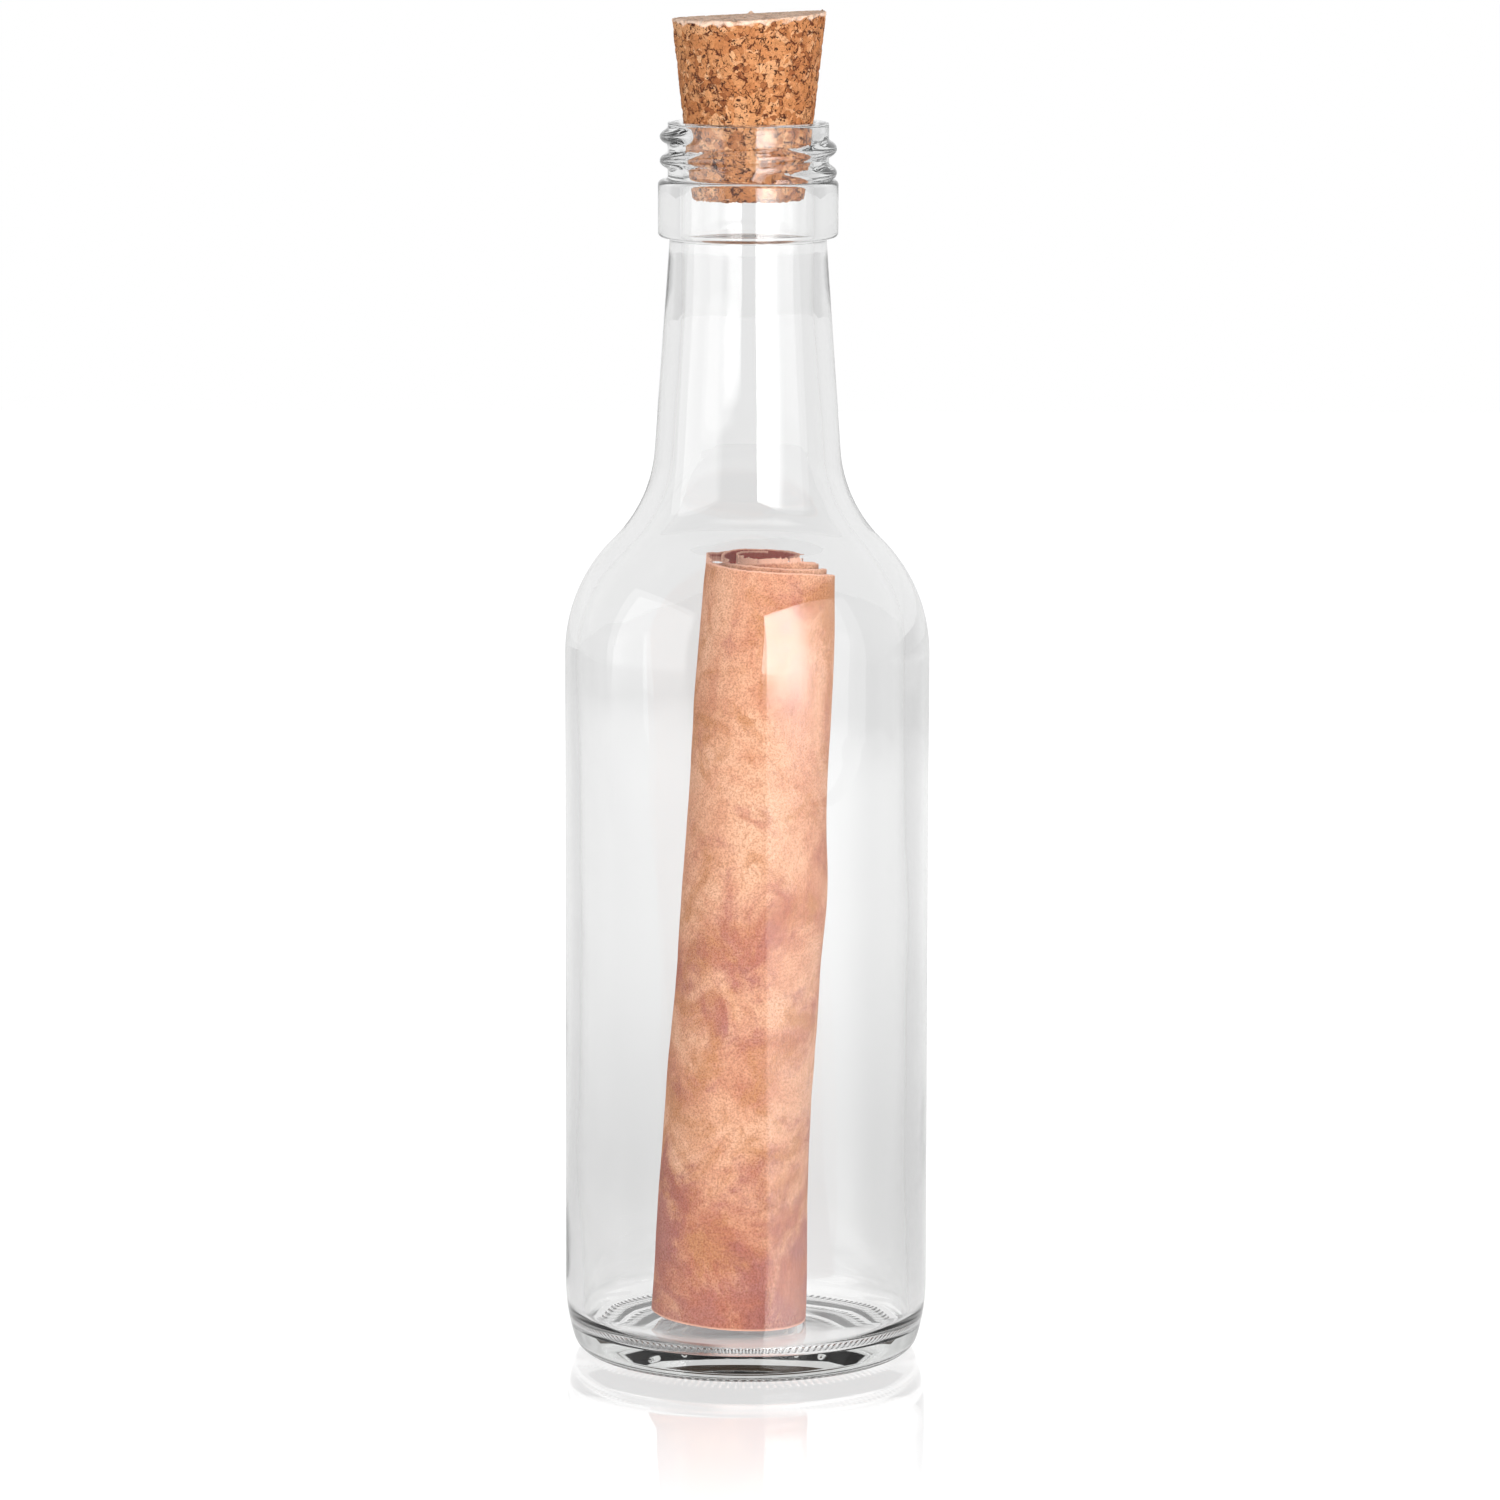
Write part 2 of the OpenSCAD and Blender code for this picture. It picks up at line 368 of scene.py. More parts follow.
def makeBottle():
    b = bottle
    outside, inside = outsideOutline(), insideOutline()
    middle = middleOfWall(outside, inside)
    rows = spacedPoints(outside, outsideRowStep) + spacedPoints(inside, insideRowStep)
    bm = spinOutline(rows, b["steps"])
    neckTop = b["height"] - b["finishHeight"]
    collarTop = neckTop + b["collarHeight"]
    for v in bm.verts:
        p = v.co / mm
        r, z = math.hypot(p.x, p.y), p.z
        if r < 0.01:
            continue
        push = shift = 0
        if z > collarTop and r > b["finishRadius"] - 0.4:
            push = max(0, b["finishRadius"] + threadRise(math.degrees(math.atan2(p.y, p.x)), z) - r)
        elif z > 3 and r < middle[min(len(middle) - 1, max(0, round(z)))]:
            push = unevenness(p, b["innerWave"], 3.1) + unevenness(p, b["innerRipple"])
            push *= between(b["innerFrom"], b["innerTo"], z)
            shift = -b["wallShift"] * between(b["shiftFrom"], b["shiftTo"], z)
        elif b["outerFrom"][0] < z < neckTop - 2:
            push = -(b["outerWave"][0] + unevenness(p, b["outerWave"])) * smoothstep(*b["outerFrom"], z)
        scale = (r + push) / r
        v.co = Vector((p.x * scale + shift, p.y * scale, z)) * mm
    finishPiece("glassBottle", bm, glassMaterial(), "bottle", "glass_bottle")


def glassMaterial():
    g = bottle["look"]
    material, kit, shader, output = newMaterial("clearGlass")
    shader.inputs["Base Color"].default_value = plainWhite
    shader.inputs["Roughness"].default_value = 0.0
    shader.inputs["IOR"].default_value = g["refraction"]
    shader.inputs["Transmission Weight"].default_value = 1.0
    coords = objectCoords(kit)
    x, y, z = kit.axes(coords)
    waves = kit.maths("SINE", kit.product(kit.maths("ARCTAN2", y, x), g["ribs"]))
    fromAxis = kit.maths("SQRT", kit.total(kit.product(x, x), kit.product(y, y)))
    ribs = kit.product(waves, kit.span(z, *g["ribHeights"], 1, 0), kit.span(fromAxis, *g["ribRadii"], 0, 1))
    ribbed = kit.bump(ribs, 1.0, g["ribDepth"])
    ripple = kit.noise(coords, *g["ripple"])
    rippled = kit.bump(ripple, g["rippleStrength"], g["rippleDepth"], Normal=ribbed)
    kit.feed(shader.inputs["Normal"], rippled)
    absorb = kit.add("VolumeAbsorption", {"Color": g["tint"], "Density": g["tintDensity"]})
    kit.feed(output.inputs["Volume"], absorb)
    # lamps and the light of the surroundings reach the paper and the cork through the glass
    clear = kit.add("BsdfTransparent", {"Color": g["letThrough"]})
    surface = shader.outputs["BSDF"]
    for ray in ("Is Diffuse Ray", "Is Shadow Ray"):
        surface = kit.mixShader(kit.ray(ray), surface, clear)
    kit.feed(output.inputs["Surface"], surface)
    return material


makeBottle()


# the cork, ground cork pressed into a tapered stopper
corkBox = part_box("cork_stopper")
cork = {
    "bottomZ": corkBox[0][2] / mm,
    "length": 28.8,
    "topRadius": 12.1,
    "bottomRadius": 8.95,
    "edge": 0.8,
    "topEdge": 0.3,
    # the cut top: rise to the right, crown, lift
    "topCut": (0.05, 0.0025, 0.2),
    "crumbs": ((0.3, 2.5, 0.6), (11.3, -1.2, 0.4)),
    "grain": 2.3,
    "grainDepth": 0.16,
    "grainGap": (0.0, 0.22),
    # how deep the lower rim is crumbled, and the heights between which that ends
    "ragged": 1.1,
    "raggedTo": (0.2, 1.4),
    "wornRim": (0.3, 1.5),
    "pits": 260,
    "pitRadius": 0.42,
    "pitDepth": 0.8,
    "rowStep": 0.34,
    "steps": 216,
    "seed": 11,
    "look": {
        "warp": (500, 3, 0.6),
        "warpBy": 1.2 * mm,
        "bigGrain": 480,
        "smallGrain": 1150,
        "bigTones": [(0.0, rgb(184, 114, 66)), (0.3, rgb(202, 132, 80)), (0.62, rgb(212, 146, 94)),
                     (1.0, rgb(228, 170, 122))],
        "smallTones": [(0.0, rgb(148, 84, 46)), (0.25, rgb(186, 118, 70)), (0.7, rgb(210, 142, 90)),
                       (1.0, rgb(232, 176, 128))],
        "sizeMix": (0.42, 0.5, 0, 1),
        "fibre": (3200, 5, 0.65),
        "fibreTones": [(0.3, rgb(178, 178, 178)), (0.7, plainWhite)],
        "fibreShare": 0.8,
        "bigSeam": (0.02, 0.09, 1, 0),
        "smallSeam": (0.02, 0.08, 0.9, 0),
        "broken": (900, 3, 0.6),
        "brokenShare": (0.5, 0.57, 0, 1),
        "seamTone": rgb(84, 38, 18),
        "crack": (1300, 2, 0.5, 1.5),
        "crackShare": (0.61, 0.64, 0, 0.95),
        "crackTone": rgb(54, 24, 14),
        # pale dust on top and on the worn rim, also painted top light on the upward faces
        "dustAndTopLightUpward": (0.3, 0.8, 0, 0.75),
        "dustAndTopLight": (800, 4, 0.65),
        "dustAndTopLightShare": (0.38, 0.6, 0.5, 1),
        "dustAndTopLightTone": rgb(250, 224, 204),
        "bumpStrength": 0.6,
        "bumpDepth": 0.25 * mm,
    },
}


def corkPits(taper):
    # pits all over the stopper, every fourth one in its top, filed by the millimetres of height they reach
    c = cork
    rng = random.Random(c["seed"])
    pits = {}
    for i in range(c["pits"]):
        turn, up = rng.uniform(0, fullTurn), rng.uniform(0, c["length"])
        reach = c["bottomRadius"] + taper * up
        if i % 4 == 0:
            up, reach = c["length"] - 0.1, c["topRadius"] * math.sqrt(rng.random())
        centre = Vector((reach * math.cos(turn), reach * math.sin(turn), up))
        pit = centre, c["pitRadius"] * rng.uniform(0.4, 1.25)
        for level in range(int(up) - 1, int(up) + 2):
            pits.setdefault(level, []).append(pit)
    return pits


def corkDepth(p, pits):
    # how deep the surface lies at this point under granules, pits and the crumbled lower rim
    c = cork
    cell = noise.voronoi(p / c["grain"], distance_metric="DISTANCE", exponent=2.5)[0]
    gap = 1 - smoothstep(*c["grainGap"], cell[1] - cell[0])
    depth = c["grainDepth"] * (0.35 + gap + 0.9 * abs(noise.noise(p / 0.9)))
    ragged = c["ragged"] * (1 - smoothstep(*c["raggedTo"], p.z))
    depth += ragged * abs(noise.noise(p / 1.1 + Vector((5, 2, 0))))
    for centre, size in pits.get(int(p.z), ()):
        away = (centre - p).length / (size * (1 + 0.5 * noise.noise(p * 2.2)))
        depth += c["pitDepth"] * size * max(0, 1 - away ** 2)
    for x, y, size in c["crumbs"]:
        away = (Vector((x, y, c["length"])) - p).length / size
        depth -= size * max(0, 1 - away ** 2)
    return depth


def makeCork():
    c = cork
    taper = (c["topRadius"] - c["bottomRadius"]) / c["length"]
    lean = math.degrees(math.atan(taper))
    edge, topEdge = c["edge"], c["topEdge"]
    points = [(0, 0)] + arcPoints((c["bottomRadius"] - edge, edge), edge, -90, -lean, 6)
    points += arcPoints((c["topRadius"] - topEdge, c["length"] - topEdge), topEdge, -lean, 90, 5)
    bm = spinOutline(spacedPoints(points + [(0, c["length"])], lambda z: c["rowStep"]), c["steps"])
    pits = corkPits(taper)
    right, crown, lift = c["topCut"]
    bmesh.ops.recalc_face_normals(bm, faces=bm.faces)
    bm.normal_update()
    worn = bm.verts.layers.float.new("wornRim")
    for v in bm.verts:
        p = v.co / mm
        fromRim = math.hypot(c["length"] - p.z, max(0, c["topRadius"] - math.hypot(p.x, p.y)))
        v[worn] = 1 - smoothstep(*c["wornRim"], fromRim + 0.7 * noise.noise(p / 1.3))
        p -= v.normal * corkDepth(p, pits)
        # the top is cut on a slope, and the side keeps to its taper
        rise = smoothstep(c["length"] * 0.6, c["length"], p.z) * (right * p.x - crown * p.y ** 2 + lift)
        side = 1 + taper * rise / (c["bottomRadius"] + taper * p.z)
        v.co = Vector((p.x * side, p.y * side, p.z + rise + c["bottomZ"])) * mm
    finishPiece("corkStopper", bm, corkMaterial(), "cork", "cork_stopper")


def corkMaterial():
    c = cork["look"]
    material, kit, shader = newMaterial("groundCork")[:3]
    coords = objectCoords(kit)
    warp = kit.noise(coords, *c["warp"], output="Color")
    bent = kit.add("VectorMath", {0: warp, 1: (c["warpBy"],) * 3, 2: coords}, operation="MULTIPLY_ADD")

    def cells(scale, feature, output):
        return kit.add("TexVoronoi", {"Scale": scale, "Vector": bent}, output, feature=feature)

    def seams(scale, reach):
        return kit.span(cells(scale, "DISTANCE_TO_EDGE", "Distance"), *reach)

    # each granule has a tone of its own, and some are broken into small ones
    pick = kit.add("SeparateColor", {0: cells(c["bigGrain"], "F1", "Color")}).node
    pickSmall = kit.add("SeparateColor", {0: cells(c["smallGrain"], "F1", "Color")})
    bigTone, smallTone = kit.ramp(pick.outputs[0], c["bigTones"]), kit.ramp(pickSmall, c["smallTones"])
    tone = kit.mix(kit.span(pick.outputs[1], *c["sizeMix"]), bigTone, smallTone)
    # fine cells and streaks inside each granule
    fibre = kit.noise(coords, *c["fibre"])
    tone = kit.mix(c["fibreShare"], tone, kit.ramp(fibre, c["fibreTones"]), "MULTIPLY")
    # brown seams between the granules, darkest where a chip is missing
    seam = kit.maths("MAXIMUM", seams(c["bigGrain"], c["bigSeam"]), seams(c["smallGrain"], c["smallSeam"]))
    seam = kit.product(seam, kit.span(kit.noise(coords, *c["broken"]), *c["brokenShare"]))
    tone = kit.mix(seam, tone, c["seamTone"])
    # short dark cracks and specks, and pale dusty flakes on top and where the rim is worn; on the upward
    # faces the pale tone is also painted top light, as light from above brightens them
    crack = kit.span(kit.noise(bent, *c["crack"]), *c["crackShare"])
    tone = kit.mix(crack, tone, c["crackTone"])
    upward = kit.axes(kit.add("NewGeometry", {}, "Normal"))[2]
    upward = kit.span(kit.total(upward, kit.attribute("wornRim")), *c["dustAndTopLightUpward"])
    dustAndTopLight = kit.product(upward, kit.span(kit.noise(coords, *c["dustAndTopLight"]), *c["dustAndTopLightShare"]))
    kit.feed(shader.inputs["Base Color"], kit.mix(dustAndTopLight, tone, c["dustAndTopLightTone"]))
    shader.inputs["Roughness"].default_value = 0.85
    shader.inputs["Specular IOR Level"].default_value = 0.25
    height = kit.maths("SUBTRACT", fibre, seam)
    kit.feed(shader.inputs["Normal"], kit.bump(height, c["bumpStrength"], c["bumpDepth"]))
    return material


makeCork()


# the message, a sheet of stained paper rolled up and standing in the bottle
scroll = {
    "topWidth": 20.9,
    "bottomWidth": 24.8,
    "paper": 0.26,
    "turns": 2.75,
    "step": 1.9,
    "shift": 0.5,
    "edgeDir": 12.0,
    "leanRight": 3.15,
    "leanBack": 2.0,
    "place": (-2.9, 1.0),
    "floor": bottle["floorHeight"] + 0.1,
    "topZ": bottle["shoulderZ"] + 13,
    # depth, share of the length, reach
    "dent": (0.6, 0.24, 16.0),
    "folds": ((0.9, 0.57, 9.0), (0.65, 0.86, 13.0)),
    "bow": 0.35,
    "waviness": 0.12,
    "deckle": 0.13,
    # height of the sheet's top edge over the roll's top, at each turn from the free edge inwards
    "rise": ((0, -0.75), (0.04, -0.67), (0.09, -0.3), (0.14, -0.24), (0.2, -0.07), (0.33, -0.07),
             (0.36, -0.03), (0.39, 0.14), (0.42, 0.32), (0.46, 0.47), (0.5, 0.47), (0.54, 0.36),
             (0.58, 0.11), (0.63, -0.12), (0.68, -0.25), (0.8, -0.33), (1.0, 0.1), (1.09, 0.57),
             (1.2, 0.5), (1.31, 0.58), (1.39, 0.54), (1.44, 0.47), (1.49, 0.28), (1.54, 0.06),
             (1.62, 0.3), (1.66, 0.48), (1.77, 0.45), (1.87, 0.5), (1.92, 0.6), (1.97, 0.8),
             (2.03, 1.05), (2.11, 1.35), (2.2, 1.42), (2.29, 1.15), (2.35, 0.85), (2.4, 0.7),
             (2.47, 0.38), (2.75, 0.3)),
    # shares of the height over which the torn rims begin and end
    "upperRim": (0.9, 1),
    "lowerRim": (0, 0.08),
    "columns": 520,
    "rows": 92,
    "look": {
        "cloud": (62, 9, 0.66, 0.5),
        "cloudTones": [(0.34, rgb(196, 122, 92)), (0.45, rgb(220, 156, 122)), (0.54, rgb(234, 178, 144)),
                       (0.68, rgb(242, 194, 162))],
        "gold": (105, 8, 0.68, 0.8),
        "goldShare": (0.47, 0.62, 0, 0.85),
        "goldTone": rgb(204, 140, 92),
        # how stained the paper is at each share of the height up to stainTop
        "stainTop": 0.13,
        "stainLevels": ((0.0, 1.0), (0.10, 0.86), (0.19, 0.62), (0.25, 0.36), (0.36, 0.30), (0.43, 0.62),
                        (0.50, 0.42), (0.62, 0.22), (1.0, 0.16)),
        "stainWeight": 0.30,
        "stain": (72, 9, 0.68, 0.6),
        "stainShare": (0.60, 0.78, 0, 0.78),
        "stainHue": (130, 5, 0.6, 0.4),
        "stainTones": [(0.42, rgb(186, 104, 82)), (0.6, rgb(168, 92, 92))],
        "grain": (3300, 2, 0.8),
        "grainTones": [(0.36, rgb(206, 186, 172)), (0.5, rgb(240, 234, 230)), (0.64, plainWhite)],
        # painted shade on the sheet's inner side
        "insideShadeShare": 0.92,
        "insideShadeTone": rgb(138, 34, 24),
        # painted highlight on the sheet's cut edge
        "edgeHighlightShare": (0.75, 0.95, 0, 0.75),
        "edgeHighlightTone": rgb(238, 186, 162),
        "bumpStrength": 0.35,
        "bumpDepth": 0.12 * mm,
    },
}


def tableValue(table, x):
    for (x0, y0), (x1, y1) in zip(table, table[1:]):
        if x <= x1:
            return y0 + (y1 - y0) * (x - x0) / (x1 - x0)
    return table[-1][1]


def swell(height, length, size):
    depth, share, reach = size
    return depth * math.exp(-((height - share * length) / reach) ** 2)


def sheetPoint(across, up, length):
    # a place on the rolled sheet, from its free edge inwards and from its bottom upwards
    s = scroll
    turn = s["turns"] * across
    a = math.radians(s["edgeDir"]) - fullTurn * turn
    # torn, slightly wavy ends, and inner turns that stand a little higher than the outer one
    along = turn * 60 + 3
    torn = 0.6 * noise.noise(Vector((along / 2.3, 5, 0))) + noise.noise(Vector((along / 0.45, 2, 0)))
    torn *= s["deckle"]
    z = up * length + smoothstep(*s["upperRim"], up) * (torn + tableValue(s["rise"], turn))
    below = 0.06 + 0.3 * abs(torn) + 0.4 * smoothstep(0.8, 1.1, turn)
    z += (1 - smoothstep(*s["lowerRim"], up)) * below
    width = s["bottomWidth"] + (s["topWidth"] - s["bottomWidth"]) * up
    dent = swell(z, length, s["dent"]) - sum(swell(z, length, fold) for fold in s["folds"])
    dent *= max(0, math.cos(a)) ** 2 * (1 - 0.5 * smoothstep(0.3, 1, turn))
    wave = s["waviness"] * noise.noise(Vector((math.cos(a) * 1.4, math.sin(a) * 1.4, z / 17)))
    r = (width + s["step"] / 2) / 2 - s["step"] * turn - dent + wave - 0.05
    x = s["shift"] * turn - s["step"] / 4 + s["bow"] * math.sin(math.pi * up)
    return Vector((x + r * math.cos(a), r * math.sin(a), z))


def makeScroll():
    s = scroll
    right, back = math.radians(s["leanRight"]), math.radians(s["leanBack"])
    lean = math.acos(math.cos(right) * math.cos(back))
    lowZ = s["floor"] + s["bottomWidth"] / 2 * math.sin(lean)
    length = (s["topZ"] - lowZ) / math.cos(lean)
    foot = Vector((*s["place"], lowZ))
    tilt = Matrix.Rotation(right, 3, "Y") @ Matrix.Rotation(-back, 3, "X")
    bm = bmesh.new()
    bmesh.ops.create_grid(bm, x_segments=s["columns"], y_segments=s["rows"], size=1)
    for v in bm.verts:
        across, up = (v.co.x + 1) / 2, (v.co.y + 1) / 2
        v.co = (tilt @ sheetPoint(across, up, length) + foot) * mm
    bmesh.ops.recalc_face_normals(bm, faces=bm.faces)
    bmesh.ops.solidify(bm, geom=bm.faces, thickness=s["paper"] * mm)
    markPaperSides(bm, tilt @ Vector((0, 0, 1)), foot * mm)
    finishPiece("paperScroll", bm, paperMaterial(), "roll", "paper_scroll")


def markPaperSides(bm, axis, foot):
    # for the material: which points lie on the sheet's inner side, which gets painted shade, and which on
    # its cut edge, which gets a painted highlight
    bmesh.ops.recalc_face_normals(bm, faces=bm.faces)
    bm.normal_update()
    inside = bm.verts.layers.float.new("innerSide")
    rim = bm.verts.layers.float.new("cutEdge")
    for v in bm.verts:
        out = v.co - foot
        out -= axis * out.dot(axis)
        walls = [f.normal for f in v.link_faces if abs(f.normal.dot(axis)) < 0.6]
        v[inside] = 1.0 if sum(normal.dot(out) for normal in walls) < 0 else 0.0
        v[rim] = 1.0 if any(abs(f.normal.dot(axis)) > 0.6 for f in v.link_faces) else 0.0


def paperMaterial():
    p = scroll["look"]
    material, kit, shader = newMaterial("agedPaper")[:3]
    coords = objectCoords(kit)
    tone = kit.ramp(kit.noise(coords, *p["cloud"]), p["cloudTones"])
    # golden brown clouds
    tone = kit.mix(kit.span(kit.noise(coords, *p["gold"]), *p["goldShare"]), tone, p["goldTone"])
    # red-brown stains, in a band across the middle and thickest at the lower end
    levels = [(place, (level, level, level, 1)) for place, level in p["stainLevels"]]
    stained = kit.ramp(kit.product(kit.axes(coords)[2], 1 / p["stainTop"]), levels)
    stain = kit.total(kit.noise(coords, *p["stain"]), kit.product(stained, p["stainWeight"]))
    stainTone = kit.ramp(kit.noise(coords, *p["stainHue"]), p["stainTones"])
    tone = kit.mix(kit.span(stain, *p["stainShare"]), tone, stainTone)
    # paper fibre: a fine speckle of light and dark
    grain = kit.noise(coords, *p["grain"])
    tone = kit.mix(1.0, tone, kit.ramp(grain, p["grainTones"]), "MULTIPLY")
    # painted shade: the sheet's inner side is darkened to a deep red-brown, for the shade inside the roll
    # and the red light it bounces there
    tone = kit.mix(kit.product(kit.attribute("innerSide"), p["insideShadeShare"]), tone, p["insideShadeTone"])
    # painted highlight: the cut edges of the sheet are lighter, as where light from above catches the rim
    tone = kit.mix(kit.span(kit.attribute("cutEdge"), *p["edgeHighlightShare"]), tone, p["edgeHighlightTone"])
    kit.feed(shader.inputs["Base Color"], tone)
    shader.inputs["Roughness"].default_value = 0.8
    shader.inputs["Specular IOR Level"].default_value = 0.2
    kit.feed(shader.inputs["Normal"], kit.bump(grain, p["bumpStrength"], p["bumpDepth"]))
    return material


makeScroll()


# the stage: floor, world, lamps and camera
stage = {
    # lamps: degrees to the right of the camera seen from the bottle, distance, lower and upper edge, width
    "keyBox": (34.0, 0.42, 0.05, 0.45, 0.35),
    "keyShineBox": (45.0, 0.42, 0.03, 0.47, 0.55),
    "leftBox": (-66.0, 0.5, 0.0, 0.5, 0.6),
    "frontBox": (-20.0, 0.7, 0.05, 0.6, 0.6),
    "backBox": (170.0, 0.7, 0.1, 0.6, 0.6),
    "topBox": (0, 0.05, 0.9, 1.3, 0.4),
    "keyLight": 4.0,
    "fillLight": 1.2,
    "frontLight": 1.3,
    "backLight": 2.0,
    "topLight": 16.0,
    # their mirrored faces: brightest, dimmed, shares of the width where it dims, height of the lower fade
    "keyShine": (7.2, 1.6, (0.3, 0.55), 0.035),
    "leftShine": (2.0, 0.6, (0.9, 1.0), 0.1),
    "flag": {"behind": 0.045, "wide": 0.06, "high": 0.0068, "tone": rgb(58, 46, 32),
             "lowestView": -0.06, "mostWalls": 2.5},
    "cameraAway": 1.06,
    "cameraHigh": 0.256,
    "aimHigh": 0.09637,
    "axisOffset": 0.00047,
    "roll": 0.13,
    "focal": 162.68,
    # brightness of floor and world: where a soft step starts and ends, and the values there
    "floor": {
        "size": 3.0,
        "openly": (0.12, 0.34, 0.9, 1.0),
        "litTone": (0.75, 0.75, 0.75, 1),
        "shadeTone": (0.26, 0.26, 0.26, 1),
        "gloss": (0.03, 0.15, 0.36, 0.0),
        "glossBlur": 0.03,
        # through the glass, by the distance behind the bottle, from its axis and to the sides
        "behind": (0.05, 0.4, 0.48, 0.655),
        "farBehind": (0.5, 1.3, 0, 0.06),
        "underneath": (0.03, 0.045, 0.25, 0),
        "sideways": (0.4, 0.7, 1.0, 0.86),
        # the narrow dark strip of painted shade under the front of the heel
        "stripFront": (-0.012, -0.004, 1, 0),
        "stripOuter": (0.029, 0.033, 1, 0),
        "stripInner": (0.017, 0.019, 0, 1),
        "stripLeft": (-0.007, -0.002, 1, 0),
        "stripEnds": (0.0185, 0.0225, 1, 0),
        "stripDepth": 0.97,
        # in mirrorings, with the lit sector in front of the softbox
        "mirrored": (-0.05, 0.05, 0.25, 0.6),
        "gleamFrom": (math.radians(10.5), math.radians(14), 0, 1),
        "gleamTo": (math.radians(50), math.radians(85), 1, 0),
        "gleamAway": (0.05, 0.09, 0, 2.1),
    },
    "world": {
        "light": 0.25,
        "throughGlass": (0.1, 0.85, 0.68, 0.87),
        "mirroredAhead": (-0.4, 0.3, 0.35, 0.85),
        "mirroredRaised": (0.02, 0.12, 0, 0.15),
    },
}


def stagePlane(name, wide, high, place, material):
    bm = bmesh.new()
    bmesh.ops.create_grid(bm, x_segments=1, y_segments=1, size=0.5,
                          matrix=Matrix.Diagonal((wide, high, 1, 1)))
    mesh = bpy.data.meshes.new(name)
    bm.to_mesh(mesh)
    bm.free()
    mesh.materials.append(material)
    plane = bpy.data.objects.new(name, mesh)
    bpy.context.collection.objects.link(plane)
    plane.matrix_world = place
    return plane


def stageMaterial(name):
    material, kit, shader, output = newMaterial(name)
    kit.nodes.remove(shader)
    return material, kit, output.inputs["Surface"]


def beforeScatter(kit):
    # 1 on the way from the camera to the first matt surface, and 0 after it
    return kit.maths("LESS_THAN", kit.ray("Diffuse Depth"), 0.5)


def surroundLevel(kit, plain, throughGlass, mirrored, seen):
    # brightness of the surroundings for each kind of ray: plain for the light that reaches the object
    level = kit.choose(kit.ray("Is Glossy Ray"), plain, mirrored)
    level = kit.choose(kit.ray("Is Transmission Ray"), level, throughGlass)
    level = kit.choose(kit.ray("Is Camera Ray"), level, seen)
    return kit.choose(beforeScatter(kit), plain, level)


def floorThroughGlass(kit, x, y, away):
    # the floor as the glass shows it, with painted shade: darkest near the bottle and at the sides, and
    # black in the strip that only the heel shows
    f = stage["floor"]
    depth = kit.total(kit.span(y, *f["behind"]), kit.span(y, *f["farBehind"]),
                      kit.span(away, *f["underneath"]))
    slant = kit.maths("ABSOLUTE", kit.maths("DIVIDE", x, y))
    strip = kit.product(kit.span(x, *f["stripLeft"]), kit.span(away, *f["stripInner"]),
                        kit.span(kit.maths("ABSOLUTE", x), *f["stripEnds"]),
                        kit.span(y, *f["stripFront"]), kit.span(away, *f["stripOuter"]))
    unstripped = kit.maths("SUBTRACT", 1.0, kit.product(strip, f["stripDepth"]))
    return kit.product(depth, kit.span(slant, *f["sideways"]), unstripped)


def makeFloor():
    f = stage["floor"]
    material, kit, surface = stageMaterial("whiteFloor")
    coords = objectCoords(kit)
    x, y = kit.axes(coords)[:2]
    away = kit.add("VectorMath", {0: coords}, "Value", operation="LENGTH")
    angle = kit.maths("ARCTAN2", x, kit.product(y, -1.0))
    gleam = kit.product(kit.span(angle, *f["gleamFrom"]), kit.span(angle, *f["gleamTo"]),
                        kit.span(away, *f["gleamAway"]))
    mirrored = kit.total(gleam, kit.span(y, *f["mirrored"]))
    throughGlass = floorThroughGlass(kit, x, y, away)
    level = surroundLevel(kit, 0.0, throughGlass, mirrored, kit.span(away, *f["openly"]))
    # camera, glass and mirrorings see a floor that is nearly white of itself, with the shadow on top
    shaded = kit.add("BsdfDiffuse", {"Color": f["shadeTone"]})
    lit = kit.add("AddShader", {0: shaded, 1: kit.add("Emission", {"Strength": level})})
    shine = kit.add("BsdfGlossy", {"Roughness": f["glossBlur"], "Color": plainWhite})
    shown = kit.mixShader(kit.span(away, *f["gloss"]), lit, shine)
    rays = [kit.ray(name) for name in ("Is Camera Ray", "Is Glossy Ray", "Is Transmission Ray")]
    seen = kit.product(kit.chain("MAXIMUM", *rays), beforeScatter(kit))
    plain = kit.add("BsdfDiffuse", {"Color": f["litTone"]})
    kit.feed(surface, kit.mixShader(seen, plain, shown))
    stagePlane("floor", f["size"], f["size"], Matrix.Identity(4), material)


def makeWorld():
    w = stage["world"]
    world = bpy.data.worlds.new("studio")
    bpy.context.scene.world = world
    world.use_nodes = True
    kit = NodeKit(world.node_tree)
    y, z = kit.axes(kit.add("TexCoord", {}, "Generated"))[1:]
    # its mirrorings are dark towards the camera, and the floor mirrors the white background
    mirrored = kit.total(kit.span(y, *w["mirroredAhead"]), kit.span(z, *w["mirroredRaised"]))
    background = kit.nodes["Background"]
    level = surroundLevel(kit, w["light"], kit.span(y, *w["throughGlass"]), mirrored, 1.0)
    kit.feed(background.inputs["Strength"], level)
    background.inputs["Color"].default_value = plainWhite


def boxPlace(turnDeg, away, low, high):
    turn = math.radians(turnDeg)
    place = Vector((away * math.sin(turn), -away * math.cos(turn), (low + high) / 2))
    facing = Vector((place.x, place.y, 0)).to_track_quat("Z", "Y")
    return Matrix.Translation(place) @ facing.to_matrix().to_4x4()


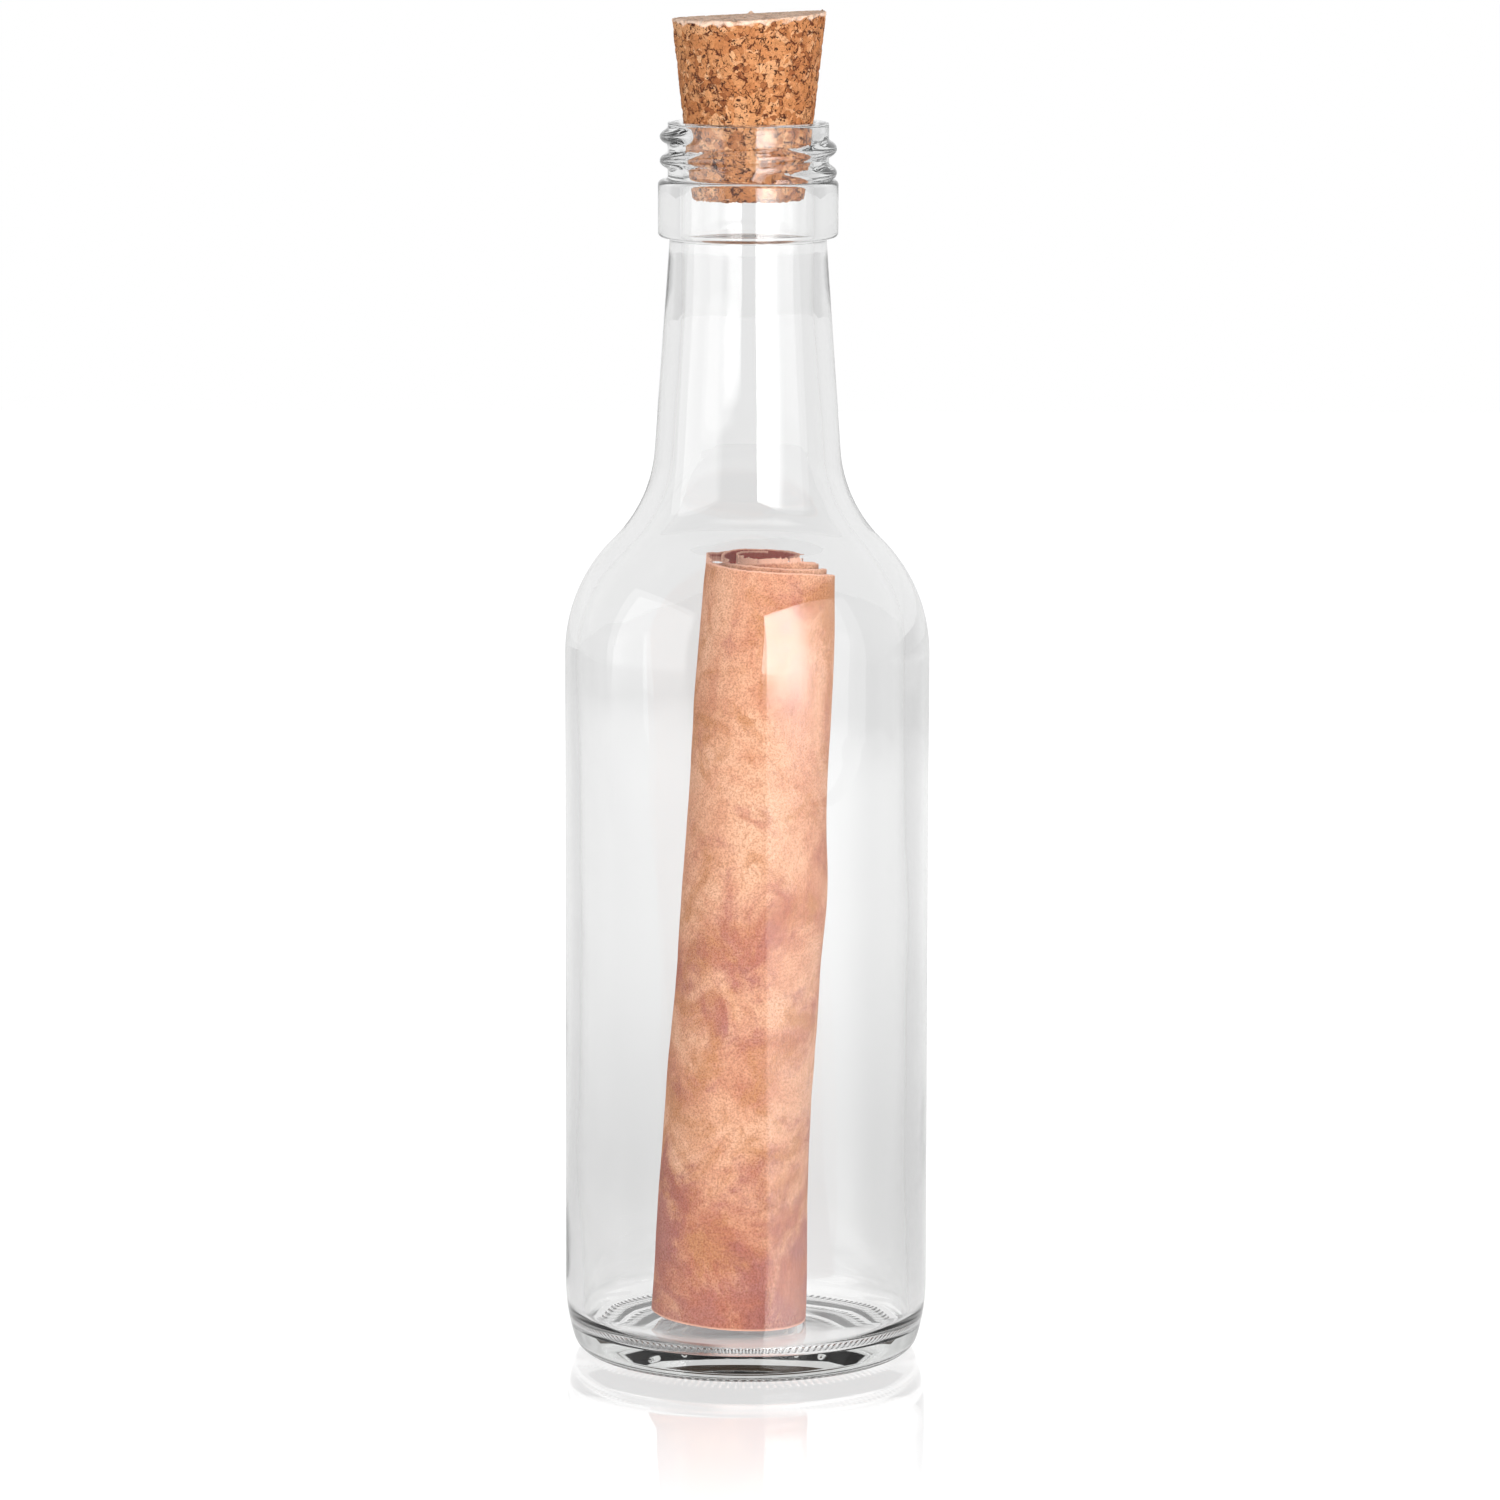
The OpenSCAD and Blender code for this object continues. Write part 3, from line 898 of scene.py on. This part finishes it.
def areaLamp(name, box, radiance):
    # a soft lamp round the bottle that no mirroring shows, its power set by the brightness of its face
    turnDeg, away, low, high, wide = box
    lamp = bpy.data.lights.new(name, "AREA")
    lamp.shape = "RECTANGLE"
    lamp.size, lamp.size_y = wide, high - low
    lamp.energy = radiance * 4 * wide * (high - low)
    obj = bpy.data.objects.new(name, lamp)
    bpy.context.collection.objects.link(obj)
    obj.matrix_world = boxPlace(turnDeg, away, low, high)
    obj.visible_camera = obj.visible_glossy = obj.visible_transmission = False


def mirrorCard(name, box, shine):
    # the bright face of a softbox as the glass mirrors it: it lights nothing else
    turnDeg, away, low, high, wide = box
    radiance, dimmed, (dimFrom, dimTo), lowFade = shine
    material, kit, surface = stageMaterial(name)
    x, y = kit.axes(objectCoords(kit))[:2]
    farSide = kit.span(x, wide * (dimFrom - 0.5), wide * (dimTo - 0.5), radiance - dimmed, 0)
    lowEdge = kit.span(y, (low - high) / 2, (low - high) / 2 + lowFade, 0, 1)
    face = kit.total(kit.product(farSide, lowEdge), dimmed)
    kit.feed(surface, kit.add("Emission", {"Strength": kit.product(face, beforeScatter(kit))}))
    card = stagePlane(name, wide, high - low, boxPlace(turnDeg, away, low, high), material)
    card.visible_camera = card.visible_diffuse = False
    card.visible_shadow = card.visible_volume_scatter = False


def makeBaseFlag():
    # a low dark flag behind the base, which gives the heel its dark edge: it shows only where the
    # heel's thick glass bends the view upwards, and the level view through the bottle passes it
    flag = stage["flag"]
    material, kit, surface = stageMaterial("baseFlag")
    upward = kit.product(kit.axes(kit.add("NewGeometry", {}, "Incoming"))[2], -1.0)
    level = kit.maths("GREATER_THAN", upward, flag["lowestView"])
    # not after one mirroring, which is the floor's, nor through the far wall
    fromOne = kit.maths("ABSOLUTE", kit.maths("SUBTRACT", kit.ray("Glossy Depth"), 1.0))
    fewWalls = kit.maths("LESS_THAN", kit.ray("Transmission Depth"), flag["mostWalls"])
    shown = kit.product(level, kit.maths("GREATER_THAN", fromOne, 0.5), fewWalls)
    dark = kit.add("Emission", {"Color": flag["tone"]})
    kit.feed(surface, kit.mixShader(shown, kit.add("BsdfTransparent", {}), dark))
    place = Matrix.Translation((0, flag["behind"], flag["high"] / 2)) @ Matrix.Rotation(math.pi / 2, 4, "X")
    card = stagePlane("baseFlag", flag["wide"], flag["high"], place, material)
    card.visible_camera = card.visible_diffuse = card.visible_glossy = False
    card.visible_shadow = card.visible_volume_scatter = False


def makeCamera():
    s = stage
    cam = bpy.data.cameras.new("camera")
    cam.sensor_fit = "HORIZONTAL"
    cam.sensor_width = 36
    cam.lens = s["focal"]
    obj = bpy.data.objects.new("camera", cam)
    eye = Vector((s["axisOffset"], -s["cameraAway"], s["cameraHigh"]))
    aim = Vector((s["axisOffset"], 0, s["aimHigh"]))
    obj.location = eye
    view = (aim - eye).to_track_quat("-Z", "Y").to_matrix()
    obj.rotation_euler = (view @ Matrix.Rotation(math.radians(s["roll"]), 3, "Z")).to_euler()
    bpy.context.collection.objects.link(obj)
    bpy.context.scene.camera = obj


makeFloor()
makeWorld()
areaLamp("keyLamp", stage["keyBox"], stage["keyLight"])
areaLamp("fillLamp", stage["leftBox"], stage["fillLight"])
areaLamp("topLamp", stage["topBox"], stage["topLight"])
areaLamp("frontLamp", stage["frontBox"], stage["frontLight"])
areaLamp("backLamp", stage["backBox"], stage["backLight"])
mirrorCard("softboxFace", stage["keyShineBox"], stage["keyShine"])
mirrorCard("leftBoxFace", stage["leftBox"], stage["leftShine"])
makeBaseFlag()
makeCamera()
bpy.context.scene.view_settings.view_transform = "Standard"
print("stage set")
